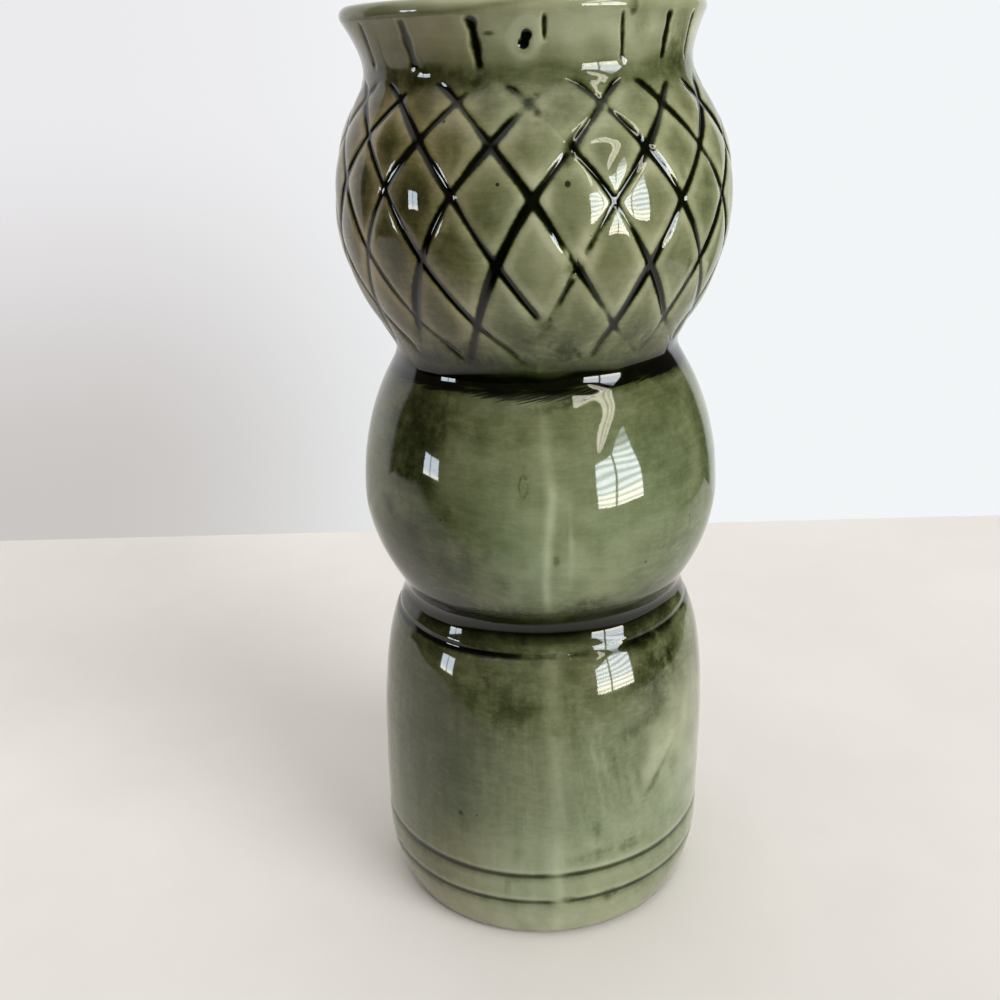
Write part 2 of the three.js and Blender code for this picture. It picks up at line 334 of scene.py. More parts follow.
# A slanting oval hole through the collar's glaze, shaped like two overlapping dots: angle, height and radius
PIT_DOTS = ((0.4, 245.7, 1.45), (-0.8, 243.9, 1.45))
PIT_DEPTH = 0.45
PIT_RIM = 0.06


def pit_marks(angle, z):
    """How deep each point lies in the oval hole, and how near its pale rim."""
    across = np.radians(front_angle(angle)) * outline(z)
    near = np.full_like(z, 9.0)
    for dot_angle, dot_z, radius in PIT_DOTS:
        dot_across = np.radians(dot_angle) * outline(z)
        dot_near = np.hypot(across - dot_across, z - dot_z) / radius
        near = -0.25 * np.log(np.exp(-4 * near) + np.exp(-4 * dot_near))
    return 1 - smoothstep(0.45, 1.0, near), bump(near, 1.9, 1.2) * (near > 0.9)


# The casting seam: the heights, and at each its angle, its half width in degrees and how pale it is
SEAM_HEIGHTS = (0, 30, 60, 90, 115, 125, 140, 160, 200, 254)
SEAM_ANGLES = (4.5, 4.3, 3.2, 2.2, 0.6, 1.2, 2.9, 0.5, 0.9, 2.5)
SEAM_WIDTH_HEIGHTS = (0, 50, 80, 92, 112, 140, 150, 170, 254)
SEAM_WIDTHS = (2.3, 2.7, 3.6, 3.0, 1.5, 1.6, 2.2, 2.6, 2.4)
SEAM_PALE_HEIGHTS = (25, 60, 85, 110, 140, 150, 175)
SEAM_PALE = (0.2, 0.38, 0.55, 0.65, 0.6, 0.35, 0.15)
SEAM_RAISE = 0.1


def seam_marks(angle, z):
    """How near each point is to the casting seam."""
    away = front_angle(angle) - np.interp(z, SEAM_HEIGHTS, SEAM_ANGLES)
    return np.exp(-(away / np.interp(z, SEAM_WIDTH_HEIGHTS, SEAM_WIDTHS)) ** 2)


# Where the front swells or sinks a little against the turned outline: height, half height and how much
FRONT_SWELLS = (
    (242.5, 9.0, 0.8), (235.0, 4.0, 0.2), (169.5, 7.0, 0.9), (76.0, 12.0, 0.16), (92.0, 10.0, -0.16),
)

# Where the diamonds are rounder than elsewhere: angle, height, half width, half height and how much
ROUNDER = ((4.5, 217.0, 5.0, 7.0, 0.9),)

# The hand-finished surface's waves: how high, how long, and which random field
UNEVENNESS = ((0.085, 34, 3), (0.035, 13, 4))


def relief(angle, z):
    """How far the glaze's surface stands out from the outline, in millimetres."""
    points = place(angle, outline(z), z)
    turned = front_angle(angle)
    cut, _, inside = lattice_marks(angle, z)
    _, band_depth = band_marks(angle, z)
    pit, halo = pit_marks(angle, z)
    rounder = np.ones_like(z)
    for *spot, amount in ROUNDER:
        rounder = rounder + amount * np.exp(-oval(turned, z, *spot) ** 1.5)
    out = PILLOW * rounder * (inside - 0.6) * between(169, 176, 234, 239, z)
    out -= CUT_DEPTH * cut + band_depth + STROKE_DEPTH * stroke_marks(angle, z)
    out += PIT_RIM * halo - PIT_DEPTH * pit
    for height, half_height, swell in FRONT_SWELLS:
        out += swell * bump(z, height, half_height) * (1 - smoothstep(50, 78, np.abs(turned)))
    out += SEAM_RAISE * seam_marks(angle, z) * (1 - 0.8 * smoothstep(165, 175, z))
    for amount, length, seed in UNEVENNESS:
        out += amount * waves(points, length, seed)
    return out


# Glaze thickness down the vase: 0 is pale and thin, 1 sage, 2 olive and 6 black
TONE_HEIGHTS = (
    0, 8, 14, 20, 27, 40, 60, 70, 78, 88, 91, 94, 96.6, 97.6, 99.6, 101, 103, 106, 110, 118,
    128, 140, 150, 158, 162, 163.8, 164.8, 167.4, 168.4, 170, 173, 178, 186, 200, 215, 226, 232, 236, 239,
    241, 246, 250, 252, 254,
)
TONE_VALUES = (
    0.5, 0.5, 0.75, 0.72, 0.66, 0.86, 1.12, 1.3, 1.5, 1.65, 1.9, 2.3, 4.6, 6.5, 6.5, 5, 3.6, 1.9, 1, 0.76,
    0.85, 0.95, 1.1, 1.35, 1.6, 2.6, 6.8, 6.8, 4.2, 2.6, 1.95, 1.55, 0.86, 0.72, 0.72, 0.92, 1.2, 1.8, 1.6,
    0.75, 0.18, 0.28, 0.5, 0.6,
)

# Wide soft shades, partly the glaze's own olive patches and partly painted shade on the left side away from
# the light: angle, height, half width, half height, change of thickness, and slope where not level
SHADES = (
    (-46, 55, 22, 46, 0.75), (-18, 58, 18, 22, 0.4), (50, 22, 18, 22, 0.35), (60, 58, 20, 22, -0.35),
    (-32, 60, 12, 25, 0.3), (20, 60, 12, 16, 0.15), (9, 45, 13, 9, 0.16), (40, 8, 22, 9, 0.22),
    (-46, 115, 24, 16, 1.7), (-38, 131, 9, 10, 0.45), (-22, 128, 12, 16, 0.45), (50, 118, 22, 12, 0.75),
    (48, 147, 17, 17, 0.55), (65, 140, 6, 16, 0.9), (-44, 149, 13, 13, 1.35), (0, 132, 10, 14, -0.2),
    (-34, 206, 13, 24, 1.1), (-24, 184, 11, 8, -0.3), (-48, 200, 8, 20, -0.15), (-14, 208, 8, 24, 0.4),
    (40, 207, 16, 20, 0.2), (0, 197, 10, 10, -0.22), (-46, 245, 16, 6, 0.45), (-75, 246, 14, 8, 0.6),
)

# Brushed patches, in the same order, with broken edges
PATCHES = (
    # Drum
    (-38, 94, 26, 4, 0.75), (45, 94, 20, 3, 0.7), (42, 91.2, 15, 1.8, 1.6), (17, 57, 3.2, 3, -0.3, -4.2),
    (20, 58, 3, 2.5, -0.25, -4.6), (13, 50, 2.5, 2.5, -0.2, -5), (24, 56, 3, 3, 0.3, -3.8),
    (28, 52, 3, 3, 0.25, -3.5), (33, 50, 2.5, 4, 0.25, -3), (39, 47, 5, 1.5, 0.4, 0.9),
    (-17, 79, 13, 9, 0.5), (-7, 77, 5, 3.5, 0.5), (-14, 76, 4, 2.5, 0.3), (44, 84, 13, 9, 0.8, 0.1),
    (-45, 88.5, 14, 2.5, 0.5), (8, 81, 5, 9, 0.15), (38, 82, 12, 5, 0.3, 0.12), (47, 85, 7, 3, 0.45, 0.2),
    (53, 86, 6, 3, 0.4, 0.2), (38, 70.5, 9, 3.2, 0.55, 0.35), (28, 67, 5, 1.6, 0.5, -0.1),
    (45, 60, 10, 7, -0.25, 0.3), (42, 51, 6, 1.1, 0.45, 0.9), (18, 29.5, 8, 2.2, 0.55, 0.05),
    (31, 30.5, 5, 2.2, 0.6), (23, 14.6, 2.6, 2.2, 1.2), (8.5, 15.8, 2.6, 1, 0.7), (17, 38, 2, 3, 0.5),
    (-12.5, 20, 0.7, 3, 0.6),
    # Ball
    (-24, 160, 9, 3, -0.3), (2, 163.6, 24, 1.2, -0.8), (-44, 151, 13, 13, 0.8), (-32, 158, 8, 6, 0.3),
    (-47, 142, 8, 3, 0.4), (57, 145, 6, 10, -0.3), (-22, 157, 10, 4, 0.15, -0.3),
    (-20, 154, 3, 3, 0.2, -0.5), (-5, 142, 2.2, 4.2, 0.3), (4, 123, 1.2, 1.6, 0.8), (-19, 124, 4, 4, 0.3),
    (-31, 119, 6, 4, 0.2), (15, 105, 9, 3.5, 1.2), (16, 108, 5, 2.5, 0.5), (-25, 105, 22, 2.4, 0.6),
    (40, 107, 7, 2.5, 0.5), (30, 112, 4, 4, 0.25), (8.1, 125, 0.8, 9, -0.3), (62, 167, 12, 3, 4, 0.05),
    (44, 166, 14, 2.4, 1.4, 0.05), (10, 161.5, 9, 0.5, 0.9, 0.09), (14, 163, 8, 0.45, 1.1, 0.1),
    (5, 160.2, 7, 0.4, 0.7, 0.08), (20, 162.2, 6, 0.4, 0.7, 0.1),
    # Bulb and collar
    (-36, 237.5, 19, 2.6, 1, -0.03), (-12, 236.5, 7, 2.2, 0.4), (12, 235.8, 5, 1, 0.6),
    (52, 239, 8, 3, 0.5), (60, 240, 8, 4, 0.5), (10, 222, 3.5, 2.5, 1.2, 0.8),
    (13, 226, 5, 1.6, 0.45, 0.8), (6, 216.5, 1.5, 2, 0.4), (9.5, 219.5, 2, 1.5, 0.5, 0.5),
    (4, 228, 6, 2, 0.3, 0.3), (-27, 174, 7, 3.2, 1.1, -0.1), (-22, 171.5, 10, 1.5, 1),
    (9.5, 174.5, 5, 3.5, 0.9, -0.3), (2, 172, 8, 2, 0.5), (33, 176.5, 5, 2.2, 0.55, 0.25),
    (39, 174.5, 4, 2, 0.6), (-41, 171.3, 6, 1.4, 1.8), (47, 193, 1.1, 1.6, 0.8),
    (42.5, 214.5, 1, 1.1, 0.5), (9.5, 196, 2.4, 1.6, 0.8), (50, 189.5, 1.6, 2.6, 1, 0.6),
    (-31, 210, 6, 6, 0.55), (-42, 222, 5, 4, 0.4), (-52, 213, 5, 8, 0.8), (-42, 205, 5, 6, 0.3),
    (-22, 222, 4, 4, 0.2), (53, 211, 5, 6, 0.3), (-10.5, 246.2, 1.6, 0.45, 1.3), (36, 247, 3, 4, 0.3),
    (32.5, 250.3, 1, 1.2, 1.2), (55, 246, 5, 4, 0.5),
)

# Small round holes in the glaze: angle, height and radius
PINHOLES = (
    (-25, 228.3, 0.45), (-9.2, 215, 0.45), (8.2, 214.6, 0.75), (-31, 132, 0.4), (-29, 42.3, 0.8),
    (-23, 43, 0.3), (14, 203, 0.3), (33, 118, 0.35), (51, 127, 0.3),
)


def glaze_tone(angle, z):
    """Glaze thickness without fine marks or pools: the even coat, and what the brushed patches add."""
    turned = front_angle(angle)
    points = place(angle, outline(z), z)
    ragged = waves(points, 9, 11)
    lifted = z + 0.7 * waves(points * (1, 1, 0.3), 16, 12) * smoothstep(20, 60, z)
    tone = np.interp(lifted, TONE_HEIGHTS, TONE_VALUES)
    calm = 1 - smoothstep(2.2, 3.5, tone)
    patch = np.zeros_like(tone)
    # The wide shades add painted shade on the left side as well as the glaze's own patches
    for rows, grows in ((SHADES, tone), (PATCHES, patch)):
        for centre, height, half_width, half_height, change, *slope in rows:
            spread = oval(turned, z, centre, height, half_width, half_height, *slope)
            grows += change * np.exp(-np.maximum(spread * (1 + 0.35 * ragged), 0) ** 1.6)
    # Soft clouds on the sides and the back
    clouds = 0.32 * waves(points * (1, 1, 1.6), 46, 13) + 0.22 * waves(points * (0.7, 0.7, 2), 22, 14)
    tone = tone + smoothstep(60, 95, np.abs(turned)) * calm * clouds
    # Thicker in the middle of each diamond, most on the left
    _, _, inside = lattice_marks(angle, z)
    on_bulb = between(172, 178, 231, 236, z)
    middle = smoothstep(0.2, 0.75, inside + 0.1 * ragged) - 0.5
    tone = tone + on_bulb * middle * (0.5 + 0.4 * smoothstep(0, 40, -turned))
    # The two low grooves: a dark core, a soft shade and a pale upper rim
    darker = 1 + 0.25 * ragged + 0.4 * smoothstep(0, 35, -turned)
    for band in BANDS[:2]:
        above = z - band_middle(band, angle)
        core = 2.5 * bump(above, 0.1, 0.48 * band["half_width"])
        soft = 0.5 * bump(above, -0.4, 2.2)
        tone = tone + wear(angle, z, "band") * (darker * (core + soft) - 0.3 * bump(above, 1.8, 1.0))
    seam = np.interp(z, SEAM_PALE_HEIGHTS, SEAM_PALE) * seam_marks(angle, z)
    return tone + (0.12 * ragged - seam) * calm, patch


def glaze_streaks(angle, z):
    """Where fine black streaks have run down from the band on top of the ball."""
    reach = np.interp(front_angle(angle), (-45, -25, 0, 14, 24), (3.5, 3, 6.5, 6, 2))
    return between(164.6 - reach, 164.2, 164.2, 165, z)


def glaze_pool(angle, z):
    """How much glaze has run into the cuts, and how thin it is on the rims beside them."""
    cut, rim, _ = lattice_marks(angle, z)
    band, _ = band_marks(angle, z)
    stroke = stroke_marks(angle, z)
    pit, halo = pit_marks(angle, z)
    full = 0.5 + 0.5 * smoothstep(170, 187, z)
    on_shoulder = smoothstep(40, 80, z) * (0.45 + 0.4 * smoothstep(0, 30, -front_angle(angle)))
    pool = np.maximum.reduce([cut * full, band * on_shoulder, 0.8 * stroke, 1.2 * pit])
    thin = np.maximum.reduce([rim, 0.9 * between(0, 0.1, 0.1, 0.4, stroke), 1.1 * halo])
    return pool, thin


# How warm the green is: above 0 it leans to yellow and brown, below 0 to blue
WARM_HEIGHTS = (0, 14, 40, 60, 84, 96, 110, 135, 150, 160, 172, 200, 232, 242, 254)
WARM_VALUES = (0.1, -0.2, -0.8, -0.4, 0.0, 0.5, -0.9, -0.9, -0.5, 0.0, 0.1, 0.3, 0.4, 0.2, 0.1)


def glaze_warmth(angle, z):
    """How warm the green is: painted warm light on the whole left side, and on the left of the bulb also the
    glaze's own browner tone, so it is warmest there.
    """
    turned = front_angle(angle)
    on_bulb = smoothstep(168, 178, z) * (1 - 0.85 * smoothstep(232, 241, z))
    brown_and_warm_lit_left = between(6, 36, 52, 92, -turned)
    on_right = between(10, 45, 90, 120, turned)
    warm = np.interp(z, WARM_HEIGHTS, WARM_VALUES)
    # Painted warm light on the left side, with the bulb's browner glaze on its left
    warm = warm + (0.8 + 1.8 * on_bulb) * brown_and_warm_lit_left - 0.2 * on_bulb * on_right
    return warm + 0.25 * waves(place(angle, outline(z), z), 40, 21)


def put(name, data):
    """A new object in the scene."""
    made = bpy.data.objects.new(name, data)
    bpy.context.scene.collection.objects.link(made)
    return made


class Skin:
    """Points and faces of one piece, gathered ring by ring, with values painted on the points."""

    def __init__(self):
        self.points = []
        self.faces = []
        self.values = {}
        self.count = 0

    def add(self, points, **values):
        """Adds points and their painted values, and gives their numbers."""
        points = np.atleast_2d(points)
        self.points.append(points)
        for name, value in values.items():
            self.values.setdefault(name, []).append(np.broadcast_to(value, len(points)))
        self.count += len(points)
        return np.arange(self.count - len(points), self.count)

    def join(self, lower, upper):
        """Faces between two rings with equally many points; lower comes first along the path."""
        quads = np.stack([lower, np.roll(lower, -1), np.roll(upper, -1), upper], axis=1)
        self.faces.extend(quads.tolist())

    def stack(self, rings):
        """Faces between each ring and the next."""
        for lower, upper in zip(rings, rings[1:]):
            self.join(lower, upper)

    def zip(self, lower, lower_angles, upper, upper_angles):
        """Triangles between two rings with different numbers of points, both in order of angle."""
        i = j = 0
        while i < len(lower) or j < len(upper):
            low = lower_angles[(i + 1) % len(lower)] + 360 * ((i + 1) // len(lower))
            high = upper_angles[(j + 1) % len(upper)] + 360 * ((j + 1) // len(upper))
            if j == len(upper) or (i < len(lower) and low <= high):
                self.faces.append([lower[i % len(lower)], lower[(i + 1) % len(lower)], upper[j % len(upper)]])
                i += 1
            else:
                self.faces.append([lower[i % len(lower)], upper[(j + 1) % len(upper)], upper[j % len(upper)]])
                j += 1

    def fan(self, ring, middle, rising):
        """Triangles between a ring and one point on the axis."""
        for first, second in zip(ring, np.roll(ring, -1)):
            self.faces.append([first, second, middle] if rising else [second, first, middle])

    def make(self, name, material):
        """The finished mesh object, in metres."""
        mesh = bpy.data.meshes.new(name)
        points = np.concatenate(self.points) * MM
        mesh.from_pydata(points.tolist(), [], [list(map(int, face)) for face in self.faces])
        for key, parts in self.values.items():
            layer = mesh.attributes.new(key, "FLOAT", "POINT")
            layer.data.foreach_set("value", np.concatenate(parts).astype(np.float32))
        mesh.polygons.foreach_set("use_smooth", np.ones(len(mesh.polygons), bool))
        mesh.materials.append(material)
        mesh.update()
        return put(name, mesh)


def paint(tone, warm, **others):
    """The values painted on a glaze's points, 0 where not given."""
    return {"patch": 0.0, "pool": 0.0, "thin": 0.0, "streak": 0.0, **others, "tone": tone, "warm": warm}


def glaze_ring(skin, angles, z, part=1.0):
    """A ring of the seen glaze, carved and painted."""
    z = np.broadcast_to(np.asarray(z, float), angles.shape)
    pool, thin = glaze_pool(angles, z)
    tone, patch = glaze_tone(angles, z)
    marks = dict(patch=patch, pool=pool, thin=thin, streak=glaze_streaks(angles, z))
    points = place(angles, outline(z) + part * relief(angles, z), z)
    return skin.add(points, **paint(tone, glaze_warmth(angles, z), **marks))


def plain_ring(skin, angles, radius, z, tone=1.5, warm=0.0):
    """A round ring of a hidden or plain wall."""
    return skin.add(place(angles, radius, z), **paint(tone, warm))


def lattice_shares():
    """Stops along a diamond's edge, close together beside the cuts."""
    half = list(EDGE_STOPS) + [0.5]
    return np.array(half + [1 - stop for stop in reversed(EDGE_STOPS)])


def lattice_rings(skin):
    """The bulb's skin, with its mesh laid along the carved lines. Gives its top and bottom rings."""
    shares = lattice_shares()
    steps = len(shares) - 1
    along = np.arange(LINES * steps)
    rings = []
    for level in range(LAST_ROW * steps + 1):
        first = along + (level + level % 2) // 2
        second = level - first
        first_place = first // steps + shares[first % steps]
        second_place = second // steps + shares[second % steps]
        angle, z = lattice_place(first_place, second_place)
        rings.append((glaze_ring(skin, angle, z), angle))
    numbers = [ring for ring, _ in rings]
    for level, (upper, middle, lower) in enumerate(zip(numbers, numbers[1:], numbers[2:])):
        # Odd rings start half a step further round than even ones
        left = np.roll(middle, 1 - level % 2)
        right = np.roll(middle, -(level % 2))
        skin.faces.extend(np.stack([upper, left, lower, right], axis=1).tolist())
        if level == 0:
            skin.faces.extend(np.stack([upper, right, np.roll(upper, -1)], axis=1).tolist())
    last, above = numbers[-1], numbers[-2]
    skin.faces.extend(np.stack([above, last, np.roll(last, -1)], axis=1).tolist())
    return rings[0], rings[-1]


def turned_angles(angles):
    """The order that puts a ring's angles between 0 and 360, and those angles."""
    turned = angles % 360
    order = np.argsort(turned)
    return order, turned[order]


def uneven_angles(step, fine_step, centre, reach):
    """Angles round the vase, closer together near one place."""
    fine = np.arange(centre - reach, centre + reach, fine_step)
    rest = np.arange(centre + reach, centre - reach + 360 - step / 2, step)
    return np.sort(np.concatenate([fine, rest]) % 360)


def heights_between(low, high, step, fine_spots, fine_step):
    """Heights between two ends, closer together near some places."""
    heights = [low]
    while heights[-1] < high - fine_step:
        near = any(abs(heights[-1] - spot) < reach for spot, reach in fine_spots)
        heights.append(heights[-1] + (fine_step if near else step))
    heights[-1] = high
    return heights


# Mesh steps of the green coat: round it and up it, fine near the seam, the grooves and the creases
SEAM_MIDDLE = 3
SEAM_REACH = 9
ROUND_STEPS = (1.0, 0.45)
RISE_STEPS = (1.0, 0.28)
CREASES = ((98.5, 4), (166, 3.5))
COLLAR_ROUND_STEP = 0.5
COLLAR_RISE_STEP = 0.36
HIDDEN_STEP = 5
HIDDEN_HEIGHTS = (
    247, 243, 238, 233, 228, 220, 205, 190, 178, 172, 168, 165,
    160, 150, 130, 112, 104, 100, 96, 91, 80, 50, 24, 10,
)


def coat_depth(z):
    """How thick the green coat is at a height: it tapers towards the lip."""
    return COAT - (COAT - COAT_AT_LIP) * smoothstep(TAPER_START, LIP_START - GAP, z)


def green_coat(material):
    """The green coat: carved and painted outside, plain where it meets the clay."""
    skin = Skin()
    angles = uneven_angles(*ROUND_STEPS, SEAM_MIDDLE, SEAM_REACH)
    fine = [(band["height"], 2.4) for band in BANDS] + list(CREASES)
    low = heights_between(GLAZE_BOTTOM, ROW_HEIGHTS[-1] - 0.5, RISE_STEPS[0], fine, RISE_STEPS[1])
    rings = [glaze_ring(skin, angles, z, part=min(1, (z - GLAZE_BOTTOM) / 3)) for z in low]
    skin.stack(rings)
    (top_ring, top_angles), (bottom_ring, bottom_angles) = lattice_rings(skin)
    order, turned = turned_angles(bottom_angles)
    skin.zip(rings[-1], angles, bottom_ring[order], turned)

    top = LIP_START - 0.01
    collar_angles = np.arange(0, 360, COLLAR_ROUND_STEP)
    collar = heights_between(ROW_HEIGHTS[0] + 0.4, LIP_START - 0.03, COLLAR_RISE_STEP, [], 0.3) + [top]
    collar_rings = [glaze_ring(skin, collar_angles, z) for z in collar]
    order, turned = turned_angles(top_angles)
    skin.zip(top_ring[order], turned, collar_rings[0], collar_angles)
    skin.stack(collar_rings)

    hidden = np.arange(0, 360, HIDDEN_STEP)
    falling = (top, *HIDDEN_HEIGHTS, GLAZE_BOTTOM)
    back = [plain_ring(skin, hidden, *inset(z, coat_depth(z))) for z in falling]
    skin.zip(collar_rings[-1], collar_angles, back[0], hidden)
    skin.stack(back)
    skin.zip(back[-1], hidden, rings[0], angles)
    return skin.make("glaze_coat", material)


def lip_path(outer_depth, inner_depth, steps):
    """Section points over the lip, round the half circle between two depths."""
    start = inset(LIP_START, outer_depth)
    middle = inset(LIP_START, (outer_depth + inner_depth) / 2)
    across = start - middle
    path = []
    for step in range(steps + 1):
        turn = math.pi * step / steps
        cos, sin = math.cos(turn), math.sin(turn)
        path.append(middle + (across[0] * cos - across[1] * sin, across[0] * sin + across[1] * cos))
    return path


def corner_path(depth, floor, steps):
    """Section points of the rounded inside corner, from the wall down to the floor."""
    wall_radius, wall_z = inset(WALL_START, depth)
    path = []
    for step in range(1, steps + 1):
        turn = math.pi / 2 * step / steps
        radius = wall_radius - FLOOR_ROUND * (1 - math.cos(turn))
        path.append((radius, wall_z - (wall_z - floor) * math.sin(turn)))
    return path


# How far up the lip the green coat reaches: higher at the front and on the right
LIP_EDGE_ANGLES = (-180, -60, -36, -13, 8, 60, 120, 180)
LIP_EDGE_HEIGHTS = (250.4, 250.3, 250.5, 251.4, 253.4, 253.6, 252, 250.4)

# Mesh steps round the liner, seen and hidden, and round the clay
LINER_STEP = 1.5
LINER_HIDDEN_STEP = 6
CLAY_STEP = 2


def liner_ring(skin, angles, radius, z, on_lip, within):
    """A ring of the pale coat, with the green coat's edge on the outside of the lip."""
    turned = front_angle(angles)
    height = np.full(angles.shape, float(z))
    points = place(angles, radius, height)
    above = height - np.interp(turned, LIP_EDGE_ANGLES, LIP_EDGE_HEIGHTS)
    green = smoothstep(-0.5, 0.5, -above) * on_lip
    # On the lip's left the pale coat is painted thicker and darker: painted shade on the side away from the
    # light
    pale = 0.25 + 0.5 * smoothstep(20, 60, -turned) * on_lip
    pale = pale + 0.14 * waves(points, 18, 31) + 0.1 * waves(points * (1, 1, 0.3), 7, 32)
    # Lower inside the vase the pale coat is painted darker: painted shade in the hollow
    deep = 0.8 * (1 - smoothstep(60, 230, z)) * within
    under = sum(glaze_tone(angles, np.minimum(height, 251)))
    tone = np.maximum(pale + deep, 0.02) * (1 - green) + under * green
    rim = 0.55 * np.exp(-(above / 0.7) ** 2) * on_lip
    return skin.add(points, **paint(tone + rim, 0.2 + 0.9 * rim))


def liner(material):
    """The pale coat over the lip and the inside."""
    skin = Skin()
    angles = np.arange(0, 360, LINER_STEP)
    lip = lip_path(0, WALL, 18)
    # A second ring close to the first keeps the shading of the joint tight
    lip.insert(1, 0.98 * lip[0] + 0.02 * lip[1])
    seen = [inset(z, WALL) for z in np.linspace(LIP_START, WALL_START, 90)]
    floor_top = FLOOR + GAP + WALL - LINER_OUTSIDE
    path = lip + seen[1:] + corner_path(WALL, floor_top, 8)
    rings = []
    for count, (radius, z) in enumerate(path):
        rings.append(liner_ring(skin, angles, radius, z, count < len(lip) // 2, count > len(lip)))
    skin.stack(rings)
    middle = plain_ring(skin, np.zeros(1), 0.0, floor_top, tone=1.2, warm=0.2)[0]
    skin.fan(rings[-1], middle, True)

    hidden = np.arange(0, 360, LINER_HIDDEN_STEP)
    back_path = corner_path(LINER_OUTSIDE, FLOOR + GAP, 4)[::-1]
    back_path += [inset(z, LINER_OUTSIDE) for z in np.linspace(WALL_START, LIP_START, 60)]
    back_path += lip_path(COAT_AT_LIP, LINER_OUTSIDE, 6)[::-1]
    back = [plain_ring(skin, hidden, radius, z) for radius, z in back_path]
    under = plain_ring(skin, np.zeros(1), 0.0, FLOOR + GAP)[0]
    skin.fan(back[0], under, False)
    skin.stack(back)
    skin.zip(back[-1], hidden, rings[0], angles)
    return skin.make("liner_coat", material)


# The section of the foot, from the recess under it out to the glaze's edge: radius and height
FOOT_PATH = (
    (RECESS_RADIUS - 1.2, RECESS_DEPTH), (RECESS_RADIUS, RECESS_DEPTH - 0.25),
    (RECESS_RADIUS + 0.5, RECESS_DEPTH - 0.9),
    (FOOT_INSIDE - 0.1, 0.5), (FOOT_INSIDE + 0.4, 0.08), (FOOT_INSIDE + 1.1, 0),
    (FOOT_OUTSIDE - 0.7, 0), (FOOT_OUTSIDE, 0.12), (FOOT_OUTSIDE + 0.55, 0.6),
)


def clay(material):
    """The fired clay, seen only at the foot and in the recess under it."""
    skin = Skin()
    outer = [inset(z, coat_depth(z) + GAP) for z in np.linspace(GLAZE_BOTTOM, LIP_START, 90)]
    lip = lip_path(COAT_AT_LIP + GAP, CLAY_INSIDE, 6)
    inner = [inset(z, CLAY_INSIDE) for z in np.linspace(LIP_START, WALL_START, 70)]
    path = list(FOOT_PATH) + outer + lip[1:-1] + inner + corner_path(CLAY_INSIDE, FLOOR, 4)
    angles = np.arange(0, 360, CLAY_STEP)
    rings = [skin.add(place(angles, radius, z)) for radius, z in path]
    skin.stack(rings)
    bottom, top = (skin.add(place(np.zeros(1), 0.0, float(z)))[0] for z in (RECESS_DEPTH, FLOOR))
    skin.fan(rings[0], bottom, False)
    skin.fan(rings[-1], top, True)
    return skin.make("clay_wall", material)


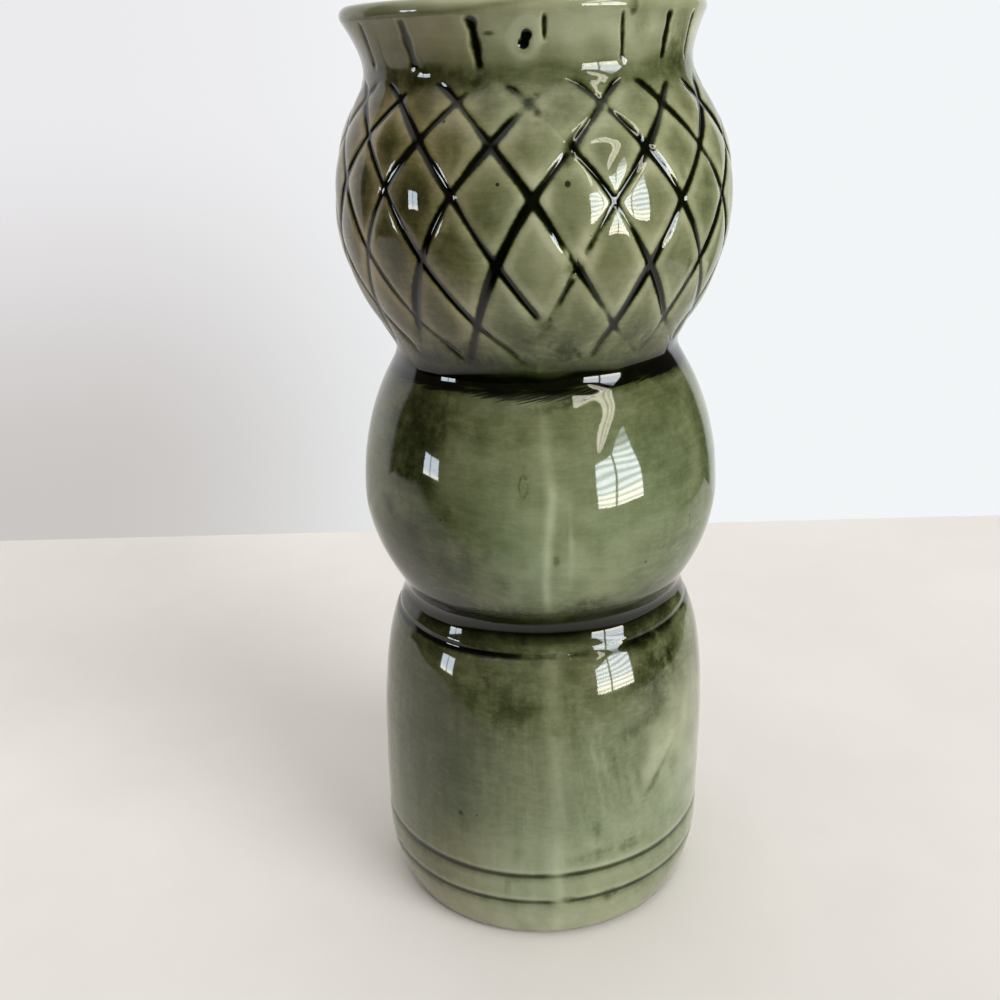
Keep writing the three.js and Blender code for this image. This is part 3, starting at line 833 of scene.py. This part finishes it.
class Graph:
    """Short names for building one node tree."""

    def __init__(self, tree):
        self.tree = tree
        tree.nodes.clear()

    def node(self, kind, inputs=None, **settings):
        """A node with its settings, each input a value or another node's output."""
        made = self.tree.nodes.new(kind)
        for name, value in settings.items():
            setattr(made, name, value)
        for name, value in (inputs or {}).items():
            if isinstance(value, bpy.types.NodeSocket):
                self.tree.links.new(value, made.inputs[name])
            else:
                made.inputs[name].default_value = value
        return made

    def math(self, operation, *values):
        """Any step on numbers."""
        return self.node("ShaderNodeMath", dict(enumerate(values)), operation=operation).outputs[0]

    def times(self, first, second):
        """A product of two numbers."""
        return self.math("MULTIPLY", first, second)

    def add(self, value, share, base):
        """A base, and a share of a value added to it."""
        return self.math("MULTIPLY_ADD", value, share, base)

    def minus(self, first, second):
        """A difference of two numbers."""
        return self.math("SUBTRACT", first, second)

    def apart(self, first, second):
        """How far apart two numbers are."""
        return self.math("ABSOLUTE", self.minus(first, second))

    def vectors(self, operation, output, *vectors):
        """A step on vectors, such as their distance."""
        made = self.node("ShaderNodeVectorMath", dict(enumerate(vectors)), operation=operation)
        return made.outputs[output]

    def colour(self, channels):
        """Three numbers as one colour."""
        return self.node("ShaderNodeCombineColor", dict(enumerate(channels))).outputs[0]

    def where(self, kind="ShaderNodeTexCoord", output="Object"):
        """The place that is being shaded, and its three parts."""
        spot = self.node(kind).outputs[output]
        return spot, self.node("ShaderNodeSeparateXYZ", {0: spot}).outputs

    def vector(self, x, y, z):
        """Three numbers as one vector."""
        return self.node("ShaderNodeCombineXYZ", {0: x, 1: y, 2: z}).outputs[0]

    def noise(self, vector, scale, detail=2.0, roughness=0.5):
        """Smooth noise, about 0 to 1."""
        inputs = {"Vector": vector, "Scale": scale, "Detail": detail, "Roughness": roughness}
        return self.node("ShaderNodeTexNoise", inputs).outputs[0]

    def streaks(self, parts, scales, detail, roughness):
        """Noise about -1 to 1, stretched along the directions with small scales."""
        spot = self.vector(*(self.times(part, scale) for part, scale in zip(parts, scales)))
        return self.add(self.noise(spot, 1.0, detail, roughness), 4, -2)

    def curve(self, value, points):
        """A smooth curve through a few points, each a value and a height from 0 to 1."""
        made = self.node("ShaderNodeFloatCurve", {"Value": value})
        line = made.mapping.curves[0]
        line.points[0].location, line.points[1].location = points[0], points[-1]
        for x, y in points[1:-1]:
            line.points.new(x, y)
        made.mapping.update()
        return made.outputs[0]

    def smooth(self, value, low, high, out_low=0.0, out_high=1.0):
        """A soft step of a value."""
        inputs = {"Value": value, "From Min": low, "From Max": high, "To Min": out_low, "To Max": out_high}
        return self.node("ShaderNodeMapRange", inputs, interpolation_type="SMOOTHSTEP").outputs[0]

    def painted(self, name):
        """A value painted on the points."""
        return self.node("ShaderNodeAttribute", attribute_name=name).outputs["Fac"]

    def blend(self, share, first, second):
        """Two colours, or colour outputs, mixed by a share."""
        made = self.node("ShaderNodeMix", {0: share}, data_type="RGBA")
        for number, colour in ((6, first), (7, second)):
            if isinstance(colour, bpy.types.NodeSocket):
                self.tree.links.new(colour, made.inputs[number])
            else:
                made.inputs[number].default_value = (*colour, 1)
        return made.outputs[2]

    def finish(self, shader, output="ShaderNodeOutputMaterial"):
        """Ends the tree in its output."""
        self.node(output, {"Surface": shader})


# The glaze's colour where it is thinnest, and what each further layer of it lets through
PALE = (0.44, 0.455, 0.315)
PASSES = (0.45, 0.475, 0.38)
GLAZE_ROUGHNESS = 0.045
GLAZE_IOR = 1.46


def new_material(name):
    """An empty node material."""
    material = bpy.data.materials.new(name)
    material.use_nodes = True
    return material, Graph(material.node_tree)


def surface(graph, colour, roughness, height, deep, strength, **more):
    """Ends a material in a surface with small dents."""
    dent = graph.node("ShaderNodeBump", {"Height": height, "Distance": deep, "Strength": strength}).outputs[0]
    inputs = {"Base Color": colour, "Roughness": roughness, "Normal": dent, **more}
    graph.finish(graph.node("ShaderNodeBsdfPrincipled", inputs).outputs[0])


# Brush marks: how fine they are along x, y and z, their detail and their roughness
BRUSH_MARKS = {
    "coarse": ((60, 60, 420), 3.0, 0.55),
    "fine": ((200, 200, 1700), 2.0, 0.6),
    "grain": ((430, 430, 720), 4.0, 0.75),
    "mottle": ((150, 150, 150), 5.0, 0.68),
    "clouds": ((36, 36, 36), 2.0, 0.5),
    "upright": ((330, 330, 40), 3.0, 0.65),
    "wisps": ((260, 260, 34), 4.0, 0.6),
    "slanting": ((110, 110, 2600), 2.0, 0.6),
}


def brush_marks(graph, spot, x, y, z):
    """The brush marks, each about -1 to 1. Level ones sway a little, and wisps lean on the drum's right."""
    level = graph.add(x, 0.06, graph.add(graph.noise(spot, 28.0), 0.011, z))
    leaning = graph.times(graph.smooth(x, -0.01, 0.015, 0.0, 0.6), graph.smooth(z, 0.07, 0.09, 1.0, 0.0))
    own_parts = {
        "coarse": (x, y, level),
        "fine": (x, y, level),
        "wisps": (graph.add(z, leaning, x), y, z),
        "slanting": (x, y, graph.add(x, -0.2, z)),
    }
    return {name: graph.streaks(own_parts.get(name, (x, y, z)), *mark) for name, mark in BRUSH_MARKS.items()}


def surface_spot(angle, z):
    """A place on the plain outline, in metres."""
    return tuple(place(np.array([angle]), outline(z), float(z))[0] * MM)


def pinhole_depth(graph, spot):
    """Dark round dots at the pinholes, and a thin scatter of tiny ones."""
    cells = graph.node("ShaderNodeTexVoronoi", {"Vector": spot, "Scale": 85.0})
    chosen = graph.node("ShaderNodeSeparateColor", {0: cells.outputs["Color"]}).outputs[0]
    near = graph.minus(graph.smooth(chosen, 0.72, 1.0, 0.0, 0.026), cells.outputs["Distance"])
    depth = graph.smooth(near, -0.004, 0.012, 0.0, 0.55)
    for angle, z, radius in PINHOLES:
        away = graph.vectors("DISTANCE", "Value", spot, surface_spot(angle, z))
        dot = graph.smooth(away, radius * MM * 0.55, radius * MM * 1.25, 1.0, 0.0)
        depth = graph.math("MAXIMUM", depth, dot)
    return depth


# A faint dark ring left in the glaze on the ball: its angle, height, and half size along x, y and z
RING_ANGLE = -5.2
RING_HEIGHT = 142.5
RING_HALF = (1.1, 1.1, 2.7)


def ring_mark(graph, spot):
    """How near each place is to the ring's line."""
    away = graph.vectors("SUBTRACT", "Vector", spot, surface_spot(RING_ANGLE, RING_HEIGHT))
    scaled = graph.vectors("MULTIPLY", "Vector", away, tuple(1 / (half * MM) for half in RING_HALF))
    from_line = graph.apart(graph.vectors("LENGTH", "Value", scaled), 1.0)
    return graph.smooth(from_line, 0.05, 0.4, 1.0, 0.0)


# How strongly the brush marks change the thickness: those that fade on the drum, and those that do not
FADING_MARKS = (("coarse", 0.12), ("fine", 0.08), ("mottle", 0.18), ("clouds", 0.1))
STEADY_MARKS = (("grain", 0.16), ("upright", 0.08))
WISPS = 0.14
HOLE_TONE = 2.6
RING_TONE = 0.6
RIM_TONE = -0.42


def glaze_thickness(graph, marks, holes, ring, z):
    """The glaze's thickness: the painted values, broken up by brush marks."""
    tone = graph.painted("tone")
    on_drum = graph.smooth(z, 0.06, 0.085, 1.0, 0.0)
    brushed = 0.0
    for name, weight in FADING_MARKS:
        brushed = graph.add(marks[name], weight, brushed)
    brushed = graph.times(brushed, graph.add(on_drum, -0.55, 1.0))
    for name, weight in STEADY_MARKS:
        brushed = graph.add(marks[name], weight, brushed)
    brushed = graph.add(graph.times(marks["wisps"], on_drum), WISPS, brushed)
    thick = graph.add(brushed, graph.smooth(tone, 0.2, 2.6, 0.45, 2.6), tone)
    # Patches have broken edges, and streaks run slanting
    broken = graph.add(marks["upright"], 0.45, graph.add(marks["grain"], 0.3, marks["mottle"]))
    thick = graph.add(graph.painted("patch"), graph.smooth(broken, -0.8, 0.8, 0.35, 1.65), thick)
    streak = graph.smooth(graph.add(marks["slanting"], 0.5, graph.painted("streak")), 0.5, 1.0, 0.0, 3.5)
    thick = graph.add(graph.painted("thin"), RIM_TONE, graph.math("ADD", thick, streak))
    # Pools in the cuts have a ragged olive fringe and a black core
    ragged = graph.add(marks["mottle"], 0.12, graph.painted("pool"))
    ragged = graph.add(marks["grain"], 0.07, ragged)
    for low, high, deep in ((0.1, 0.5, 1.1), (0.3, 0.85, 5.4)):
        thick = graph.math("ADD", thick, graph.smooth(ragged, low, high, 0.0, deep))
    ring = graph.times(ring, graph.smooth(marks["mottle"], -0.5, 0.3))
    thick = graph.add(ring, RING_TONE, thick)
    return graph.math("MAXIMUM", graph.add(holes, HOLE_TONE, thick), 0.0)


def glaze_colour(graph, thick, z):
    """The colour that a thickness of glaze shows, tinted by the painted warmth and bluer on the drum."""
    warm = graph.painted("warm")
    blue = graph.times(graph.add(warm, -0.03, 1.0), graph.smooth(z, 0.096, 0.11, 1.0, 0.91))
    tints = (graph.add(warm, 0.09, 1.0), 1.0, blue)
    channels = []
    for pale, passes, tint in zip(PALE, PASSES, tints):
        passed = graph.math("POWER", passes, thick)
        channels.append(graph.times(graph.times(passed, pale), tint))
    return graph.colour(channels)


def glaze_material(name):
    """Glossy half-clear glaze, darker where it lies thicker."""
    material, graph = new_material(name)
    spot, (x, y, z) = graph.where()
    marks = brush_marks(graph, spot, x, y, z)
    holes = pinhole_depth(graph, spot)
    thick = glaze_thickness(graph, marks, holes, ring_mark(graph, spot), z)
    height = graph.add(holes, -0.5, graph.times(marks["clouds"], 0.05))
    surface(graph, glaze_colour(graph, thick, z), GLAZE_ROUGHNESS, height, 0.0004, 0.5, IOR=GLAZE_IOR)
    return material


# The clay's colours, and where they start and end in its blotches
CLAY_DARK = (0.3, (0.5, 0.42, 0.3, 1))
CLAY_PALE = (0.7, (0.72, 0.65, 0.52, 1))
CLAY_ROUGHNESS = 0.9


def clay_material(name):
    """Bare fired clay: matt, buff and slightly gritty."""
    material, graph = new_material(name)
    spot = graph.node("ShaderNodeTexCoord").outputs["Object"]
    grit = graph.noise(spot, 900.0, 3.0, 0.7)
    mixed = graph.add(grit, 0.35, graph.times(graph.noise(spot, 60.0, 3.0, 0.5), 0.65))
    ramp = graph.node("ShaderNodeValToRGB", {0: mixed})
    for element, (position, colour) in zip(ramp.color_ramp.elements, (CLAY_DARK, CLAY_PALE)):
        element.position = position
        element.color = colour
    surface(graph, ramp.outputs[0], CLAY_ROUGHNESS, grit, 0.0003, 0.6)
    return material


# The table: its far edge meets the wall, and the glaze mirrors only its parts near the vase
FLOOR_COLOUR = (0.875, 0.84, 0.815)
FLOOR_LEFT = -1.0
FLOOR_RIGHT = 0.385
FLOOR_NEAR = -0.2
FLOOR_FAR = 0.265
FLOOR_REACH = 30.0


def floor_material():
    """Plain pale table with faint uneven patches."""
    material, graph = new_material("table")
    spot, (x, y, _) = graph.where()
    shade = graph.smooth(graph.noise(spot, 9.0, 4.0, 0.6), 0.3, 0.7, 0.97, 1.02)
    near = graph.smooth(y, FLOOR_NEAR - 0.08, FLOOR_NEAR + 0.07)
    left = graph.smooth(x, FLOOR_LEFT - 0.15, FLOOR_LEFT + 0.15)
    right = graph.smooth(x, FLOOR_RIGHT - 0.01, FLOOR_RIGHT + 0.02, 1.0, 0.0)
    seen = graph.node("ShaderNodeLightPath").outputs["Is Camera Ray"]
    shade = graph.times(shade, graph.math("MAXIMUM", seen, graph.times(near, left)))
    colour = graph.colour([graph.times(shade, part) for part in FLOOR_COLOUR])
    solid = graph.node("ShaderNodeBsdfDiffuse", {"Color": colour}).outputs[0]
    clear = graph.node("ShaderNodeBsdfTransparent").outputs[0]
    there = graph.math("MAXIMUM", seen, right)
    graph.finish(graph.node("ShaderNodeMixShader", {0: there, 1: clear, 2: solid}).outputs[0])
    return material


def make_floor():
    """The table, up to the wall behind it."""
    mesh = bpy.data.meshes.new("table")
    corners = [(-1, -FLOOR_REACH), (1, -FLOOR_REACH), (1, FLOOR_FAR), (-1, FLOOR_FAR)]
    mesh.from_pydata([(side * FLOOR_REACH, y, 0.0) for side, y in corners], [], [(0, 1, 2, 3)])
    mesh.materials.append(floor_material())
    put("table", mesh)


# The room as light by direction: the wall behind, with painted shade low on the left, the ceiling and the
# dark room
WALL_LEFT_LOW_SHADED = (0.59, 0.565, 0.55)
WALL_LEFT_HIGH = (0.83, 0.82, 0.84)
WALL_RIGHT = (0.89, 0.915, 0.93)
CEILING = (1.06, 1.04, 1.0)
DARK_ROOM = (0.06, 0.05, 0.04)


def make_world():
    """A pale wall behind with painted shade low on the left, a pale ceiling, and a dark room in front that
    only the glaze shows.
    """
    world = bpy.data.worlds.new("room")
    bpy.context.scene.world = world
    world.use_nodes = True
    graph = Graph(world.node_tree)
    _, (x, y, z) = graph.where(output="Generated")
    # The wall is painted darker low on the left: painted shade
    wall_left = graph.blend(graph.smooth(z, -0.33, -0.02), WALL_LEFT_LOW_SHADED, WALL_LEFT_HIGH)
    wall = graph.blend(graph.smooth(x, -0.36, 0.02), wall_left, WALL_RIGHT)
    behind = graph.smooth(graph.add(x, -0.224, y), 0.54, 0.62)
    room = graph.blend(behind, DARK_ROOM, wall)
    full = graph.blend(graph.smooth(z, 0.5, 0.85), room, CEILING)
    seen = graph.node("ShaderNodeLightPath").outputs["Is Camera Ray"]
    light = graph.node("ShaderNodeBackground", {"Color": graph.blend(seen, full, wall), "Strength": 1.0})
    graph.finish(light.outputs[0], "ShaderNodeOutputWorld")


# The patterns on the lights, from 0 to 1 across and up: curves of one edge against the other direction
WINDOW_BAR = 0.385
WINDOW_SLATS = 11
WINDOW_TOP_EDGE = ((0, 0.55), (0.12, 0.58), (0.38, 0.67), (0.57, 0.85), (0.8, 0.97), (1, 0.97))
WINDOW_RIGHT_EDGE = ((0, 1), (0.39, 0.97), (0.66, 0.88), (1, 0.79))
PANE_LOW = (1.25, 1.2, 1.05)
PANE_HIGH = (0.84, 0.92, 0.98)
CURTAIN_LEFT_EDGE = (
    (0, 0.25), (0.25, 0.29), (0.44, 0.4), (0.6, 0.55), (0.72, 0.58), (0.81, 0.53), (0.88, 0.3),
    (0.92, 0.1), (1, 0.1),
)
CURTAIN_RIGHT_EDGE = (
    (0, 0.25), (0.18, 0.41), (0.36, 0.59), (0.59, 0.82), (0.71, 0.89), (0.8, 0.86), (0.9, 0.7),
    (1, 0.5),
)
CURTAIN_CREASES = ((0.42, 0.4), (0.72, 0.6))
CURTAIN_COLOUR = (1, 0.95, 0.8, 1)


def light_graph(light):
    """A light's node tree, and the place on the light across and up, each 0 to 1."""
    light.use_nodes = True
    graph = Graph(light.node_tree)
    _, (u, v, _) = graph.where("ShaderNodeNewGeometry", "Parametric")
    return graph, u, v


def shine(graph, colour, level):
    """Ends a light's tree with a colour and a pattern of strengths."""
    emission = graph.node("ShaderNodeEmission", {"Color": colour, "Strength": level})
    graph.finish(emission.outputs[0], "ShaderNodeOutputLight")


def window_pattern(light, bar, slats):
    """Two panes with a bar between them, creamier at the bottom; slats and a drawn curtain if wanted."""
    graph, u, v = light_graph(light)
    level = graph.smooth(graph.apart(u, bar), 0.01, 0.035)
    if slats:
        saw = graph.math("FRACT", graph.times(v, slats))
        level = graph.times(level, graph.smooth(graph.apart(saw, 0.5), 0.1, 0.35, 0.5, 1.0))
        # The curtain leaves only a slanting, dimmer upper corner of the right pane in sight
        below = graph.minus(graph.curve(u, WINDOW_TOP_EDGE), v)
        inward = graph.minus(graph.curve(v, WINDOW_RIGHT_EDGE), u)
        for away in (below, inward):
            level = graph.times(level, graph.smooth(away, 0.0, 0.03))
        level = graph.times(level, graph.smooth(v, 0.62, 0.85, 1.0, 0.35))
    shine(graph, graph.blend(graph.smooth(v, 0.1, 0.3), PANE_LOW, PANE_HIGH), level)


def curtain_pattern(light):
    """A pale fold of curtain that bows up to the right and hooks back to the left, with darker creases."""
    graph, u, v = light_graph(light)
    left = graph.curve(v, CURTAIN_LEFT_EDGE)
    right = graph.curve(v, CURTAIN_RIGHT_EDGE)
    inside = graph.minus(u, left)
    level = graph.times(graph.smooth(inside, 0.0, 0.02), graph.smooth(graph.minus(right, u), 0.0, 0.02))
    level = graph.times(level, graph.smooth(v, 0.05, 0.1))
    share = graph.math("DIVIDE", inside, graph.minus(right, left))
    for across, dimmed in CURTAIN_CREASES:
        level = graph.times(level, graph.smooth(graph.apart(share, across), 0.02, 0.12, dimmed, 1.0))
    shine(graph, CURTAIN_COLOUR, level)


# The lights: direction and size in degrees as seen from the vase, radiance or strength, and colour
WINDOW = dict(azimuth=50, elevation=7, wide=30, high=32, radiance=21)
CURTAIN = dict(azimuth=46, elevation=26, wide=32, high=28, radiance=12)
LEFT_WINDOW = dict(azimuth=-71.5, elevation=2.5, wide=12, high=9.5, radiance=15, colour=(0.9, 0.95, 1))
LEFT_BAR = 0.5
KEY_AZIMUTH = 50
KEY_ELEVATION = 16
KEY_SPREAD = 39.6
KEY_STRENGTH = 2.98
KEY_COLOUR = (0.99, 1, 1)
LIGHT_DISTANCE = 2.5
LOOK_AT = Vector((0, 0, 0.13))


def aimed(name, data, azimuth, elevation):
    """A light in the scene, at a direction from the vase and aimed at it."""
    turn, lift = math.radians(azimuth), math.radians(elevation)
    way = Vector((math.sin(turn) * math.cos(lift), -math.cos(turn) * math.cos(lift), math.sin(lift)))
    lamp = put(name, data)
    lamp.location = LOOK_AT + way * LIGHT_DISTANCE
    lamp.rotation_euler = way.to_track_quat("Z", "Y").to_euler()
    return lamp


def area_light(name, azimuth, elevation, wide, high, radiance, colour=(1, 1, 1)):
    """A flat light that only the glaze's mirror shows."""
    data = bpy.data.lights.new(name, "AREA")
    data.shape = "RECTANGLE"
    data.size = 2 * LIGHT_DISTANCE * math.tan(math.radians(wide / 2))
    data.size_y = 2 * LIGHT_DISTANCE * math.tan(math.radians(high / 2))
    data.energy = radiance * math.pi * data.size * data.size_y
    data.color = colour
    aimed(name, data, azimuth, elevation).visible_diffuse = False
    return data


def make_lights():
    """The window on the right and its curtain, a small far window on the left, and a soft key light."""
    window_pattern(area_light("window_softbox", **WINDOW), WINDOW_BAR, WINDOW_SLATS)
    curtain_pattern(area_light("curtain_softbox", **CURTAIN))
    window_pattern(area_light("left_softbox", **LEFT_WINDOW), LEFT_BAR, 0)
    key = bpy.data.lights.new("key_light", "SUN")
    key.angle = math.radians(KEY_SPREAD)
    key.energy = KEY_STRENGTH
    key.color = KEY_COLOUR
    aimed("key_light", key, KEY_AZIMUTH, KEY_ELEVATION).visible_glossy = False


# Where the photograph was taken from: place, turns and lens
CAMERA_PLACE = (-0.9, -313.2, 242.9)
CAMERA_PITCH = 21.381
CAMERA_YAW = -1.802
CAMERA_ROLL = -2.164
CAMERA_LENS = 41.43
SENSOR = 36


def make_camera():
    """The camera at the photograph's place."""
    pitch, yaw, roll = (math.radians(value) for value in (CAMERA_PITCH, CAMERA_YAW, CAMERA_ROLL))
    flat = math.cos(pitch)
    ahead = Vector((math.sin(yaw) * flat, math.cos(yaw) * flat, -math.sin(pitch)))
    level = Vector((math.cos(yaw), -math.sin(yaw), 0))
    up = level.cross(ahead)
    right = level * math.cos(roll) + up * math.sin(roll)
    top = up * math.cos(roll) - level * math.sin(roll)
    data = bpy.data.cameras.new("camera")
    data.lens = CAMERA_LENS
    data.sensor_width = SENSOR
    data.clip_start = 0.01
    camera = put("camera", data)
    turn = Matrix((right, top, -ahead)).transposed().to_4x4()
    camera.matrix_world = Matrix.Translation(Vector(CAMERA_PLACE) * MM) @ turn
    bpy.context.scene.camera = camera


def make_vase():
    """The three layers, each in the place of its solid."""
    coats = (
        (green_coat(glaze_material("green_glaze")), "green_outer_glaze", "green_glaze"),
        (liner(glaze_material("pale_glaze")), "pale_liner_glaze", "pale_glaze"),
        (clay(clay_material("fired_clay")), "clay_body", "fired_clay"),
    )
    for piece, node, slot in coats:
        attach(piece, "root")
        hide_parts(node)


make_camera()
make_vase()
make_floor()
make_world()
make_lights()
bpy.context.scene.view_settings.view_transform = "Standard"
